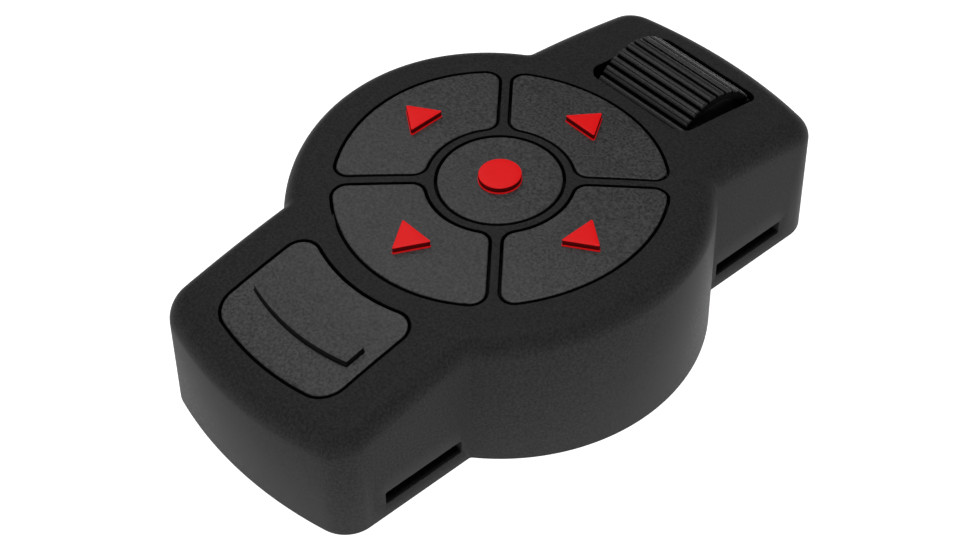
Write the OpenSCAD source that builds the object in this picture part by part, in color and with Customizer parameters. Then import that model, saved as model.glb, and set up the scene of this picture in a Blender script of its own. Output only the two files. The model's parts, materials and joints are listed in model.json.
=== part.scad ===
// Hand controller for a telescope: a round pad of five press buttons between
// two ears. The front ear carries a ridged key, the rear ear a thumb wheel, and
// a strap can pass straight through each ear. All sizes are in millimetres.
// +Y points along the body towards the thumb wheel and +Z points up. The origin
// lies under the middle of the pad, on the surface that the case rests on.

/* [Case] */
// Radius of the round middle of the case
body_r = 34.7; // [34.2:0.1:36]
// Half of the width across an ear
ear_half_w = 22.1; // [21.8:0.1:22.6]
// Half of the length over both ears
half_l = 55; // [54.8:0.1:56]
// Radius of the curved end of an ear
ear_end_r = 72; // [68:1:100]
// Radius of an ear's corners, seen from above
ear_corner_r = 5.6; // [5:0.1:6.5]
// Height of the case at the crest of its arched top
case_h = 27.85; // [27.85:0.05:28.6]
// Radius of the arched top, which falls towards both ends
arch_r = 220; // [215:1:260]
// Distance of the arch's crest from the middle of the pad, towards the wheel
arch_y = 4.75; // [4:0.05:5]
// Radius of the rounded top edge
edge_r = 3.65; // [3:0.05:4]
// Thickness of the side walls
wall = 2; // [1.8:0.1:2.2]
// Thickness of the top
skin = 2.2; // [2:0.1:2.3]

/* [Buttons] */
// Gap between a button and the case
gap = 0.5; // [0.4:0.05:0.55]
// Radius of the round centre button
centre_r = 10; // [9.8:0.05:10.05]
// Radius of the inner edge of a direction button
pad_inner_r = 12.25; // [12.2:0.05:12.4]
// Radius of the outer edge of a direction button
pad_outer_r = 26.7; // [26:0.05:26.9]
// Distance between two neighbouring direction buttons
pad_spacing = 2.3; // [2.2:0.05:2.6]
// Radius of a direction button's corners
pad_corner_r = 2.2; // [1.5:0.1:2.6]
// How far each button travels when it is pressed
travel = 0.8; // [0.5:0.1:0.8]
// Height of the red markers above the buttons
marker_h = 1.2; // [0.8:0.1:1.4]

/* [Ridge key] */
// Half of the width of the key
key_half_w = 13.45; // [13:0.05:13.55]
// Radius, about the pad's middle, of the key's hollow edge
key_inner_r = 31.15; // [31.1:0.05:31.6]
// Radius, about the pad's middle, of the key's bowed edge
key_outer_r = 49.2; // [49:0.05:49.4]
// Height of the ridge across the key
ridge_h = 0.95; // [0.6:0.05:1.4]

/* [Thumb wheel] */
// Outer radius over the ribs
wheel_r = 9.8; // [9.7:0.05:9.9]
// Width of the ribbed tyre
wheel_w = 19.5; // [18.8:0.1:19.6]
// Number of ribs round the tyre
rib_count = 30; // [24:1:36]
// Distance of the wheel's axis from the middle of the pad
wheel_y = 39.1; // [39:0.05:39.2]
// Height of the wheel's axis
wheel_z = 18.5; // [18.45:0.05:18.6]

/* [Strap slots] */
// Length of a strap slot, which suits webbing of the same width
slot_l = 15.4; // [12:0.2:15.4]
// Height of a strap slot
slot_h = 2.6; // [1.6:0.1:2.7]
// Height of a slot's lower face
slot_z = 2.9; // [2.8:0.1:3]

/* [Hidden] */

$fn = 96;
eps = 0.01;
// How far a cut reaches past a surface, and a height above the whole case
cut = 1;
tall = case_h + 5;
arch_fn = 360;
hull_fn = 72;
edge_steps = 5;

// Turn of each direction button about +Z, and colours
east = 0;
north = 90;
west = 180;
south = 270;
case_colour = [0.10, 0.10, 0.105];
button_colour = [0.25, 0.25, 0.255];
marker_colour = [0.85, 0.08, 0.09];
rubber_colour = [0.07, 0.07, 0.07];
steel_colour = [0.75, 0.75, 0.77];
brass_colour = [0.80, 0.65, 0.30];
board_colour = [0.05, 0.35, 0.15];
nylon_colour = [0.80, 0.79, 0.74];

// Button caps: shell, retaining lip and the peg that meets the switch
cap_depth = 3.5;
cap_shell = 1.6;
lip_gap = 0.3;
pad_lip_w = 1.5;
pad_lip_l = 7;
pad_lip_turn = 27;
centre_lip_w = 1.2;
key_lip_w = 1.2;
peg_r = 2;
peg_clear = 0.08;
peg_root = 0.5;
pad_peg_r = 19.5;
key_peg_y = -40;

// Red markers
arrow_tip_r = 22.7;
arrow_back_r = 17.5;
arrow_half_w = 3.4;
dot_r = 3.45;
marker_sink = 0.8;
marker_clear = 0.05;

// Ridge on the key, between two arcs about the pad's middle
ridge_inner_r = 39.3;
ridge_outer_r = 42.75;
ridge_half_w = 11.1;
ridge_root = 0.5;
key_front_corner_r = 4.3;
key_back_corner_r = 3;

// Wheel opening, tyre, hub and axle
window_half_w = 11.15;
window_y = [29.8, 48.75];
window_front_corner_r = 3;
window_back_corner_r = 2;
wheel_clear = 0.6;
groove_depth = 1;
groove_steps = 10;
rib_bluntness = 6;
rib_turn = 3;
hub_r = 8.2;
hub_w = 18.6;
axle_r = 1.5;
axle_x = [-14.8, 15.6];
bush_bore_r = 1.56;
bush_r = 2.2;
bush_flange_r = 3;
bush_flange_x = 10.5;
clip_x = 14;
clip_h = 0.6;
clip_slot_w = 1.6;
magnet_r = 2.5;
magnet_l = 1.5;

// Cradle that holds the axle
cheek_x = 11.2;
cheek_t = 2.2;
cheek_y = [33.7, 44.5];
cradle_z = 7;
cradle_floor = 0.8;
cheek_top = 21.5;
cradle_tab_z = 18.2;
tab_t = 1.6;
tab_w = 4.2;
cradle_hole_x = 16.5;
cradle_hole_y = [32.4, 44.25];

// Board stack, from the underside of the board up
board_z = 14.2;
board_t = 1.6;
board_r = 28;
board_tail_w = 24;
board_tail_y = -44;
board_top = board_z + board_t;
switch_w = 6;
switch_h = 2.8;
stem_r = 1.75;
stem_bore_r = 1.82;
stem_top = 19.6;
stem_l = 2.2;
stem_spare = 0.2;
stem_bore_z = stem_top - stem_l - travel - stem_spare;
radio_half_w = 7;
radio_y = [-35, -26.5];
radio_h = 2.2;
chip_w = 7;
chip_y = -13.4;
chip_h = 1;
socket_x = [-18.4, -13.8];
socket_l = 3;
socket_h = 2;
ribbon_x = [-17.5, -14.7];
ribbon_y = [20.4, 36.1];
ribbon_rise = 1;
ribbon_t = 0.25;
frame_z = 19.1;
frame_t = 1.6;
frame_r = 28.2;
frame_top = frame_z + frame_t;
frame_post_r = 30.3;
board_post_r = 20.5;
board_pilot_l = 2.8;
board_screw_l = 2.4;

// Screws: thread radius, head radius and head height
screw_r = 0.95;
screw_hole_r = 1.1;
pilot_r = 0.95;
boss_pilot_l = 1.5;
boss_screw_l = 1.3;
head_r = 1.8;
head_h = 1.1;
head_clear = 0.2;
seat_z = 1.25;
post_r = 2.2;
column_r = 2.6;
column_x = 17;
column_y = 49;
pilot_l = 6;

// Base cover with the battery compartment and the two strap ducts
base_t = 2.2;
base_clear = 0.15;
duct_wall = 1.1;
duct_y = 36.25;
door_t = 1.8;
door_clear = 0.2;
door_x = 12;
door_y = [-27.1, 25.2];
cell_r = 5.25;
cell_l = 43.7;
cell_nub_r = 1.9;
cell_nub_l = 0.8;
cell_x = 5.6;
cell_y = 1.2;
cell_z = 7.5;
bay_x = 11;
bay_y = [-22.25, 24.65];
bay_wall = 1.2;
bay_roof_z = 12.95;
bay_roof_t = 0.8;
door_screw_y = -25.2;
tongue_w = 10;

skirt_t = 1.4;
duct_x = ear_half_w - wall - base_clear;
door_boss_r = 2;
door_boss_h = 4;
door_pilot_l = 3.2;
door_screw_l = 3;
tongue_z = 0.9;
tongue_l = 1.2;
plate_t = 0.4;
plate_w = 7;
plate_h = 8;
sensor_board_x = 17.6;
sensor_board_t = 1.2;
sensor_foot_x = 19.3;
sensor_clear = 0.05;
sensor_grip = 1.5;
sensor_chip = [0.9, 2, 2];
sensor_y = [35.4, 41.6];
sensor_z = 9.6;
sensor_top = 21.5;

// ---------- shared shapes ----------

// Everything below the arched top, lowered by drop
module below_arch(drop = 0) {
    translate([0, arch_y, case_h - arch_r - drop])
        rotate([0, 90, 0])
            cylinder(r = arch_r, h = 4 * body_r, center = true, $fn = arch_fn);
}

// A plan outline stood up as a layer that follows the arch between two depths
module arched(top_drop, bottom_drop) {
    difference() {
        intersection() {
            linear_extrude(tall) children();
            below_arch(top_drop);
        }
        below_arch(bottom_drop);
    }
}

// A round post from z up into the skin
module post(x, y, z, r) {
    intersection() {
        translate([x, y, z]) cylinder(r = r, h = case_h);
        below_arch(skin / 2);
    }
}

// A round hole along +Z
module hole(x, y, z, r, h) {
    translate([x, y, z]) cylinder(r = r, h = h);
}

// A block given by its lowest and highest corners
module block(low, high) {
    translate(low) cube(high - low);
}

// A round bar along X between two x values, on the wheel's axis
module on_axis(x0, x1, r) {
    translate([x0, wheel_y, wheel_z]) rotate([0, 90, 0]) cylinder(r = r, h = x1 - x0);
}

// A screw that points up, whose flat head seats at z
module screw_up(x, y, z, l) {
    translate([x, y, z]) cylinder(r = screw_r, h = l);
    translate([x, y, z - head_h]) cylinder(r = head_r, h = head_h);
}

// Plan outline with its outward corners rounded to radius r
module rounded(r) {
    offset(r = r) offset(delta = -r) children();
}

// Plan outline of the two ears, drawn in by inset
module ears_outline(inset = 0) {
    offset(delta = -inset)
        rounded(ear_corner_r)
            intersection() {
                square([2 * ear_half_w, 2 * half_l], center = true);
                translate([0, half_l - ear_end_r]) circle(r = ear_end_r, $fn = arch_fn);
                translate([0, ear_end_r - half_l]) circle(r = ear_end_r, $fn = arch_fn);
            }
}

// Plan outline of the space inside the walls
module inner_outline(clear = 0) {
    circle(r = body_r - wall - clear);
    ears_outline(wall + clear);
}

// Convex solid over an outline that is drawn in step by step below a rounded edge
module soft_edged(round_part) {
    hull()
        for (step = [0:edge_steps]) {
            angle = 90 * step / edge_steps;
            inset = edge_r * (1 - cos(angle));
            intersection() {
                linear_extrude(tall)
                    if (round_part) circle(r = body_r - inset);
                    else ears_outline(inset, $fn = hull_fn);
                below_arch(edge_r * (1 - sin(angle)));
            }
        }
}

// Direction button's outline about +X, grown by grow on every side
module pad_outline(grow = 0) {
    rounded(pad_corner_r)
        difference() {
            intersection() {
                circle(r = pad_outer_r + grow);
                rotate(-45) translate([1, 1] * (pad_spacing / 2 - grow)) square(2 * pad_outer_r);
            }
            circle(r = pad_inner_r - grow);
        }
}

// Ridge key's outline, grown by grow on every side
module key_outline(grow = 0) {
    mid_y = -(key_inner_r + key_outer_r) / 2;
    for (back = [0, 1])
        intersection() {
            rounded(back ? key_back_corner_r : key_front_corner_r) key_corners(grow);
            translate([-body_r, back ? mid_y - eps : mid_y - 2 * body_r])
                square(2 * body_r);
        }
}

module key_corners(grow) {
    difference() {
        intersection() {
            translate([-key_half_w - grow, -2 * body_r])
                square([2 * (key_half_w + grow), 2 * body_r]);
            circle(r = key_outer_r + grow);
        }
        circle(r = key_inner_r - grow);
    }
}

module window_outline() {
    mid_y = (window_y[0] + window_y[1]) / 2;
    for (back = [0, 1])
        intersection() {
            rounded(back ? window_back_corner_r : window_front_corner_r)
                translate([-window_half_w, window_y[0]])
                    square([2 * window_half_w, window_y[1] - window_y[0]]);
            translate([-body_r, back ? mid_y - eps : mid_y - 2 * body_r])
                square(2 * body_r);
        }
}

module arrow_outline(grow = 0) {
    offset(delta = grow)
        polygon([[arrow_tip_r, 0], [arrow_back_r, arrow_half_w], [arrow_back_r, -arrow_half_w]]);
}

// Where the screws go
module at_quarters(r) {
    for (turn = [45:90:315]) rotate(turn) translate([r, 0, 0]) children();
}

module at_base_screws() {
    for (x = [-column_x, column_x], y = [-column_y, column_y]) translate([x, y, 0]) children();
}

module at_cradle_screws() {
    for (x = [-cradle_hole_x, cradle_hole_x], y = cradle_hole_y) translate([x, y, 0]) children();
}

// ---------- casing ----------

module upper_case() {
    color(case_colour) {
        difference() {
            union() {
                soft_edged(true);
                soft_edged(false);
            }
            intersection() {
                translate([0, 0, -cut]) linear_extrude(tall) inner_outline();
                below_arch(skin);
            }
            for (turn = [east, north, west, south])
                rotate(turn) linear_extrude(tall) pad_outline(gap);
            hole(0, 0, 0, centre_r + gap, tall);
            linear_extrude(tall) key_outline(gap);
            linear_extrude(tall) window_outline();
            on_axis(-window_half_w, window_half_w, wheel_r + wheel_clear);
            for (y = [-duct_y, duct_y])
                block([-body_r, y - slot_l / 2, slot_z], [body_r, y + slot_l / 2, slot_z + slot_h]);
        }
        difference() {
            union() {
                for (x = [-column_x, column_x], y = [-column_y, column_y]) post(x, y, base_t, column_r);
                for (turn = [45:90:315])
                    post(frame_post_r * cos(turn), frame_post_r * sin(turn), frame_top, post_r);
                for (x = [-cradle_hole_x, cradle_hole_x], y = cradle_hole_y)
                    post(x, y, cradle_tab_z + tab_t, post_r);
            }
            at_base_screws() hole(0, 0, 0, pilot_r, base_t + pilot_l);
            at_quarters(frame_post_r) hole(0, 0, 0, pilot_r, frame_top + boss_pilot_l);
            at_cradle_screws() hole(0, 0, 0, pilot_r, cradle_tab_z + tab_t + boss_pilot_l);
        }
    }
}

module base_cover() {
    color(case_colour)
        difference() {
            union() {
                linear_extrude(base_t) inner_outline(base_clear);
                for (y = [-duct_y, duct_y])
                    block([-duct_x, y - slot_l / 2 - duct_wall, 0],
                          [duct_x, y + slot_l / 2 + duct_wall, slot_z + slot_h + duct_wall]);
                block([-bay_x - bay_wall, bay_y[0] - bay_wall, 0],
                      [bay_x + bay_wall, bay_y[1] + bay_wall, bay_roof_z + bay_roof_t]);
                hole(0, door_screw_y, 0, door_boss_r, door_t + door_boss_h);
            }
            for (y = [-duct_y, duct_y])
                block([-body_r, y - slot_l / 2, slot_z], [body_r, y + slot_l / 2, slot_z + slot_h]);
            block([-bay_x, bay_y[0], -cut], [bay_x, bay_y[1], bay_roof_z]);
            block([-door_x - door_clear, door_y[0] - door_clear, -cut],
                  [door_x + door_clear, door_y[1] + door_clear, door_t]);
            block([-tongue_w / 2 - door_clear, door_y[1], tongue_z - door_clear / 2],
                  [tongue_w / 2 + door_clear, door_y[1] + tongue_l + door_clear, door_t + door_clear / 2]);
            hole(0, door_screw_y, door_t, pilot_r, door_pilot_l);
            at_base_screws() hole(0, 0, -cut, screw_hole_r, base_t + 2 * cut);
            at_base_screws() hole(0, 0, -cut, head_r + head_clear, seat_z + cut);
        }
}

module base_screws() {
    color(steel_colour)
        at_base_screws() screw_up(0, 0, seat_z, pilot_l);
}

module battery_door() {
    color(case_colour)
        difference() {
            union() {
                block([-door_x, door_y[0], 0], [door_x, door_y[1], door_t]);
                block([-tongue_w / 2, door_y[1] - tongue_l, tongue_z],
                      [tongue_w / 2, door_y[1] + tongue_l, door_t]);
            }
            hole(0, door_screw_y, -cut, screw_hole_r, door_t + 2 * cut);
            hole(0, door_screw_y, -cut, head_r + head_clear, seat_z + cut);
        }
}

module door_screw() {
    color(steel_colour) screw_up(0, door_screw_y, seat_z, door_screw_l);
}

// ---------- battery ----------

module battery_cell(x, toward) {
    color(steel_colour)
        translate([x, cell_y, cell_z])
            rotate([-90 * toward, 0, 0]) {
                translate([0, 0, -cell_l / 2]) cylinder(r = cell_r, h = cell_l);
                translate([0, 0, cell_l / 2]) cylinder(r = cell_nub_r, h = cell_nub_l);
            }
}

module contact_plate(x0, x1, y, into) {
    block([x0, min(y, y + into * plate_t), cell_z - plate_h / 2],
          [x1, max(y, y + into * plate_t), cell_z + plate_h / 2]);
}

module terminal_plates() {
    color(steel_colour)
        for (side = [-1, 1])
            contact_plate(side * cell_x - plate_w / 2, side * cell_x + plate_w / 2, bay_y[0], 1);
}

module bridge_plate() {
    color(steel_colour)
        contact_plate(-cell_x - plate_w / 2, cell_x + plate_w / 2, bay_y[1], -1);
}

// ---------- board and frame ----------

// Plate that guides the buttons' pegs and carries the board on four posts
module button_frame() {
    color(case_colour)
        difference() {
            union() {
                hole(0, 0, frame_z, frame_r, frame_t);
                at_quarters(frame_post_r) hole(0, 0, frame_z, post_r, frame_t);
                at_quarters(frame_r - cut)
                    block([0, -post_r, frame_z], [frame_post_r - frame_r + cut, post_r, frame_top]);
                at_quarters(board_post_r) hole(0, 0, board_top, post_r, frame_z - board_top + eps);
            }
            hole(0, 0, frame_z - cut, peg_r + peg_clear, frame_t + 2 * cut);
            for (turn = [east, north, west, south])
                rotate(turn)
                    hole(pad_peg_r, 0, frame_z - cut, peg_r + peg_clear, frame_t + 2 * cut);
            at_quarters(frame_post_r) hole(0, 0, frame_z - cut, screw_hole_r, frame_t + 2 * cut);
            at_quarters(board_post_r) hole(0, 0, board_top - cut, pilot_r, board_pilot_l + cut);
        }
}

module frame_screws() {
    color(steel_colour) at_quarters(frame_post_r) screw_up(0, 0, frame_z, frame_t + boss_screw_l);
}

module main_board() {
    color(board_colour)
        difference() {
            union() {
                hole(0, 0, board_z, board_r, board_t);
                block([-board_tail_w / 2, board_tail_y, board_z], [board_tail_w / 2, 0, board_top]);
            }
            at_quarters(board_post_r) hole(0, 0, board_z - cut, screw_hole_r, board_t + 2 * cut);
        }
}

module board_screws() {
    color(steel_colour) at_quarters(board_post_r) screw_up(0, 0, board_z, board_t + board_screw_l);
}

module radio_module() {
    color(steel_colour)
        block([-radio_half_w, radio_y[0], board_top],
              [radio_half_w, radio_y[1], board_top + radio_h]);
}

module control_chip() {
    color(case_colour)
        block([-chip_w / 2, chip_y, board_top],
              [chip_w / 2, chip_y + chip_w, board_top + chip_h]);
}

module ribbon_socket() {
    color(nylon_colour)
        block([socket_x[0], ribbon_y[0] - socket_l, board_top],
              [socket_x[1], ribbon_y[0], board_top + socket_h]);
}

// Flat flexible lead from the wheel's sensor board to the main board
module encoder_ribbon() {
    color(nylon_colour)
        block([ribbon_x[0], ribbon_y[0], board_top + ribbon_rise],
              [ribbon_x[1], ribbon_y[1], board_top + ribbon_rise + ribbon_t]);
}

// Switch body with a bore for its stem, standing on the board
module switch_body(x, y) {
    color(case_colour)
        difference() {
            block([x - switch_w / 2, y - switch_w / 2, board_top],
                  [x + switch_w / 2, y + switch_w / 2, board_top + switch_h]);
            hole(x, y, stem_bore_z, stem_bore_r, tall);
        }
}

module switch_stem(x, y) {
    color(nylon_colour) hole(x, y, stem_top - stem_l, stem_r, stem_l);
}

// ---------- buttons ----------

// A cap with an arched shell, a skirt round its edge and a peg to its switch
module direction_button(turn) {
    color(button_colour)
        difference() {
            union() {
                arched(0, cap_depth) rotate(turn) pad_outline();
                arched(skin + lip_gap, cap_depth)
                    rotate(turn) for (side = [-1, 1]) rotate(side * pad_lip_turn) pad_lip();
                peg(pad_peg_r * cos(turn), pad_peg_r * sin(turn));
            }
            arched(cap_shell, cap_depth + cut)
                rotate(turn) difference() {
                    pad_outline(-skirt_t);
                    translate([pad_peg_r, 0]) circle(r = peg_r);
                }
            arched(-cut, marker_sink) rotate(turn) arrow_outline(marker_clear);
        }
}

// Peg under a cap, from the stem of its switch up into the shell
module peg(x, y) {
    intersection() {
        hole(x, y, stem_top, peg_r, case_h);
        below_arch(cap_shell - peg_root);
    }
}

// Retaining lip along a short stretch of the outer edge
module pad_lip() {
    intersection() {
        difference() {
            circle(r = pad_outer_r + pad_lip_w);
            circle(r = pad_outer_r - peg_root);
        }
        translate([pad_outer_r, 0]) square([4 * pad_lip_w, pad_lip_l], center = true);
    }
}

module direction_arrow(turn) {
    color(marker_colour) arched(-marker_h, marker_sink) rotate(turn) arrow_outline();
}

module centre_button() {
    color(button_colour)
        difference() {
            union() {
                arched(0, cap_depth) circle(r = centre_r);
                arched(skin + lip_gap, cap_depth) circle(r = centre_r + centre_lip_w);
                peg(0, 0);
            }
            arched(cap_shell, cap_depth + cut)
                difference() {
                    circle(r = centre_r - skirt_t);
                    circle(r = peg_r);
                }
            arched(-cut, marker_sink) circle(r = dot_r + marker_clear);
        }
}

module centre_dot() {
    color(marker_colour) arched(-marker_h, marker_sink) circle(r = dot_r);
}

module ridge_key() {
    color(button_colour) {
        difference() {
            union() {
                arched(0, cap_depth) key_outline();
                arched(skin + lip_gap, cap_depth) key_outline(key_lip_w);
            }
            arched(cap_shell, cap_depth + cut) key_outline(-skirt_t);
        }
        peg(0, key_peg_y);
        arched(-ridge_h, ridge_root)
            intersection() {
                difference() {
                    circle(r = ridge_outer_r);
                    circle(r = ridge_inner_r);
                }
                translate([-ridge_half_w, -2 * body_r]) square([2 * ridge_half_w, 2 * body_r]);
            }
    }
}

// ---------- thumb wheel ----------

// Radius of the tyre at one point of the pitch: a round-topped rib, then a groove
function rib_profile(t) = wheel_r - groove_depth * pow(abs(cos(180 * t)), rib_bluntness);

module wheel_tyre() {
    count = rib_count * groove_steps;
    color(rubber_colour)
        on_wheel_axis(wheel_w)
            difference() {
                rotate(-rib_turn)
                    polygon([for (i = [0:count - 1])
                        rib_profile(i / groove_steps) * [cos(360 * i / count), sin(360 * i / count)]]);
                circle(r = hub_r);
            }
}

module on_wheel_axis(w) {
    translate([-w / 2, wheel_y, wheel_z]) rotate([0, 90, 0]) linear_extrude(w) children();
}

module wheel_hub() {
    color(case_colour)
        difference() {
            on_axis(-hub_w / 2, hub_w / 2, hub_r);
            on_axis(-hub_w, hub_w, axle_r);
        }
}

module wheel_axle() {
    color(steel_colour) on_axis(axle_x[0], axle_x[1], axle_r);
}

module axle_clip() {
    color(steel_colour)
        difference() {
            on_axis(clip_x, clip_x + clip_h, bush_flange_r);
            on_axis(clip_x - cut, clip_x + clip_h + cut, axle_r);
            block([clip_x - cut, wheel_y - clip_slot_w / 2, wheel_z - 2 * bush_flange_r],
                  [clip_x + clip_h + cut, wheel_y + clip_slot_w / 2, wheel_z]);
        }
}

module encoder_magnet() {
    color(steel_colour) on_axis(axle_x[0] - magnet_l, axle_x[0], magnet_r);
}

module axle_bush(side) {
    color(brass_colour)
        mirror([side < 0 ? 1 : 0, 0, 0])
            difference() {
                union() {
                    on_axis(bush_flange_x, cheek_x, bush_flange_r);
                    on_axis(cheek_x - eps, cheek_x + cheek_t, bush_r);
                }
                on_axis(0, 2 * cheek_x, bush_bore_r);
            }
}

module wheel_cradle() {
    color(case_colour)
        difference() {
            union() {
                block([-cheek_x - cheek_t, cheek_y[0], cradle_z],
                      [cheek_x + cheek_t, cheek_y[1], cradle_z + cradle_floor]);
                for (side = [-1, 1])
                    mirror([side < 0 ? 1 : 0, 0, 0]) {
                        block([cheek_x, cheek_y[0], cradle_z],
                              [cheek_x + cheek_t, cheek_y[1], cheek_top]);
                        for (y = cradle_hole_y)
                            block([cheek_x, y - tab_w / 2, cradle_tab_z],
                                  [cradle_hole_x + tab_w / 2, y + tab_w / 2, cradle_tab_z + tab_t]);
                    }
                block([-sensor_foot_x, sensor_y[0], cradle_z],
                      [-cheek_x, sensor_y[1], sensor_z + sensor_grip]);
            }
            block([-sensor_board_x - sensor_board_t - sensor_clear, sensor_y[0] - cut, sensor_z],
                  [sensor_clear - sensor_board_x, sensor_y[1] + cut, tall]);
            on_axis(-body_r, body_r, bush_r);
            at_cradle_screws() hole(0, 0, 0, screw_hole_r, tall);
        }
}

module cradle_screws() {
    color(steel_colour) at_cradle_screws() screw_up(0, 0, cradle_tab_z, tab_t + boss_screw_l);
}

module encoder_board() {
    color(board_colour)
        block([-sensor_board_x - sensor_board_t, sensor_y[0], sensor_z],
              [-sensor_board_x, sensor_y[1], sensor_top]);
}

module encoder_sensor() {
    color(case_colour)
        block([-sensor_board_x, wheel_y - sensor_chip[1], wheel_z - sensor_chip[2]],
              [sensor_chip[0] - sensor_board_x, wheel_y + sensor_chip[1], wheel_z + sensor_chip[2]]);
}

upper_case();
base_cover();
base_screws();
battery_door();
door_screw();
battery_cell(-cell_x, 1);  // battery_cell_left
battery_cell(cell_x, -1);  // battery_cell_right
terminal_plates();
bridge_plate();
button_frame();
frame_screws();
main_board();
board_screws();
radio_module();
control_chip();
ribbon_socket();
encoder_ribbon();
wheel_cradle();
cradle_screws();
axle_bush(-1);  // axle_bush_left
axle_bush(1);  // axle_bush_right
encoder_board();
encoder_sensor();
switch_body(pad_peg_r, 0);  // east_switch
switch_body(0, pad_peg_r);  // north_switch
switch_body(-pad_peg_r, 0);  // west_switch
switch_body(0, -pad_peg_r);  // south_switch
switch_body(0, 0);  // centre_switch
switch_body(0, key_peg_y);  // key_switch
switch_stem(pad_peg_r, 0);  // east_stem
switch_stem(0, pad_peg_r);  // north_stem
switch_stem(-pad_peg_r, 0);  // west_stem
switch_stem(0, -pad_peg_r);  // south_stem
switch_stem(0, 0);  // centre_stem
switch_stem(0, key_peg_y);  // key_stem
direction_button(east);  // east_button
direction_button(north);  // north_button
direction_button(west);  // west_button
direction_button(south);  // south_button
centre_button();
ridge_key();
direction_arrow(east);  // east_arrow
direction_arrow(north);  // north_arrow
direction_arrow(west);  // west_arrow
direction_arrow(south);  // south_arrow
centre_dot();
wheel_hub();
wheel_tyre();
wheel_axle();
axle_clip();
encoder_magnet();
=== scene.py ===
"""Looks of the hand controller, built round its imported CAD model. Sizes in this file are in
millimetres, as in the CAD source, and turn into metres when a mesh is made."""
import json
import math

import bmesh
import bpy
import numpy as np
from mathutils import Matrix, Vector
from mathutils.geometry import delaunay_2d_cdt
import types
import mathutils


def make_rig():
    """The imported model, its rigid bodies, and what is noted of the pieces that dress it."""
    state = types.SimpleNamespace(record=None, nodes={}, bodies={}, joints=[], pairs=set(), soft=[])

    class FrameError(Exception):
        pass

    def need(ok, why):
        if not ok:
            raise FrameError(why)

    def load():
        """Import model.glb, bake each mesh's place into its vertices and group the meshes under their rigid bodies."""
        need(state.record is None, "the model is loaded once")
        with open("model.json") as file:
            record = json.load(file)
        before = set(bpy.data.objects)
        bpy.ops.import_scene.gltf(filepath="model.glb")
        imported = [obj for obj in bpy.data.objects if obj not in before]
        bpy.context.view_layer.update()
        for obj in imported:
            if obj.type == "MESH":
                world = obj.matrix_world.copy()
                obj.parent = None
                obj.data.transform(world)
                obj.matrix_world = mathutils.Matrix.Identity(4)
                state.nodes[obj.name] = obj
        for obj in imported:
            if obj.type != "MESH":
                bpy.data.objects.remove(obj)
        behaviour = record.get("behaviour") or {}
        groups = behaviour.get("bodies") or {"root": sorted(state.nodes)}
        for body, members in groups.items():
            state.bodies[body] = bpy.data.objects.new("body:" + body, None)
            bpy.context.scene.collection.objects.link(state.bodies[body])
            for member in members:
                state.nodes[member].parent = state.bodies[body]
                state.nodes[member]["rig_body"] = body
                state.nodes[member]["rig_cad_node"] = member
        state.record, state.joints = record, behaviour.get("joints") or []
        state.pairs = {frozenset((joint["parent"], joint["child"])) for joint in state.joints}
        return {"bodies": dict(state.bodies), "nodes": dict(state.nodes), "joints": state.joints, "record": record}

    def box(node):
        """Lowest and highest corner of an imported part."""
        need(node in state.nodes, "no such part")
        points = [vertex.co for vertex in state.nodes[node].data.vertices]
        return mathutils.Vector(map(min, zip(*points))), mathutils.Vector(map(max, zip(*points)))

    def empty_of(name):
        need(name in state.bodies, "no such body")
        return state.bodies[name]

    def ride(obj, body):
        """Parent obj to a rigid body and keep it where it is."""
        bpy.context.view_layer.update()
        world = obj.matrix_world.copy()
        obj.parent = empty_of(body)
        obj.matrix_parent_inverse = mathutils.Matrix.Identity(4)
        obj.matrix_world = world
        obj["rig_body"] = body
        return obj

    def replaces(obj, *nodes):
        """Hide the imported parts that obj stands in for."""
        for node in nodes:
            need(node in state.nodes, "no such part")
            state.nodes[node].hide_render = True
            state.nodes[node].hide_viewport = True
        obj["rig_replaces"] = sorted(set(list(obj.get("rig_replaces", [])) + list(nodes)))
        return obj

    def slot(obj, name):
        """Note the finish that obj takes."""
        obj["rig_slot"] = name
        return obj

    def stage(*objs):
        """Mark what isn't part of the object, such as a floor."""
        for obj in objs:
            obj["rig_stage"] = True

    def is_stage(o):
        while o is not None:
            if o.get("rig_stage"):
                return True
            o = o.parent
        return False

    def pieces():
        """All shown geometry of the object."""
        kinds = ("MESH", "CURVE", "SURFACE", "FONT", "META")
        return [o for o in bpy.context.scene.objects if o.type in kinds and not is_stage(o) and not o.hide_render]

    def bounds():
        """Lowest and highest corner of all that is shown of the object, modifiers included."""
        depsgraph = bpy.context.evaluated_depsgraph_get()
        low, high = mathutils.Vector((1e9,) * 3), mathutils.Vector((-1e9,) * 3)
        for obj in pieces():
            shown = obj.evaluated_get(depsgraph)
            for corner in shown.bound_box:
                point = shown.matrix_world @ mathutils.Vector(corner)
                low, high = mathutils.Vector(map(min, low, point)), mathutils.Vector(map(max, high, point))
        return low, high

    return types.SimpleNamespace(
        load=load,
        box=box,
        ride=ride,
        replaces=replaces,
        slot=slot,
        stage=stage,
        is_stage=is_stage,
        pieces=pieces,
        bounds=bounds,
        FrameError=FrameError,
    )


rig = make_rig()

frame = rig.load()
cad_low, cad_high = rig.bounds()

MM = 0.001
QUARTERS = {"east": 0, "north": 90, "west": 180, "south": 270}


def node_box(name):
    low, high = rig.box(name)
    return np.array(low) / MM, np.array(high) / MM


# ---------- sizes shared with the CAD source ----------

case_low, case_high = node_box("upper_case")
BODY_R = case_high[0]
HALF_L = case_high[1]
CASE_H = case_high[2]
EAR_HALF_W, EAR_END_R, EAR_CORNER_R = 22.1, 72.0, 5.6
JUNCTION_R = 0.7
ARCH_R, ARCH_Y = 220.0, 4.75
EDGE_R, WALL, SKIN, FOOT_EDGE = 3.65, 2.0, 2.2, 0.25
GAP, HOLE_EDGE_R, CAP_EDGE_R = 0.5, 0.12, 0.18

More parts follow.
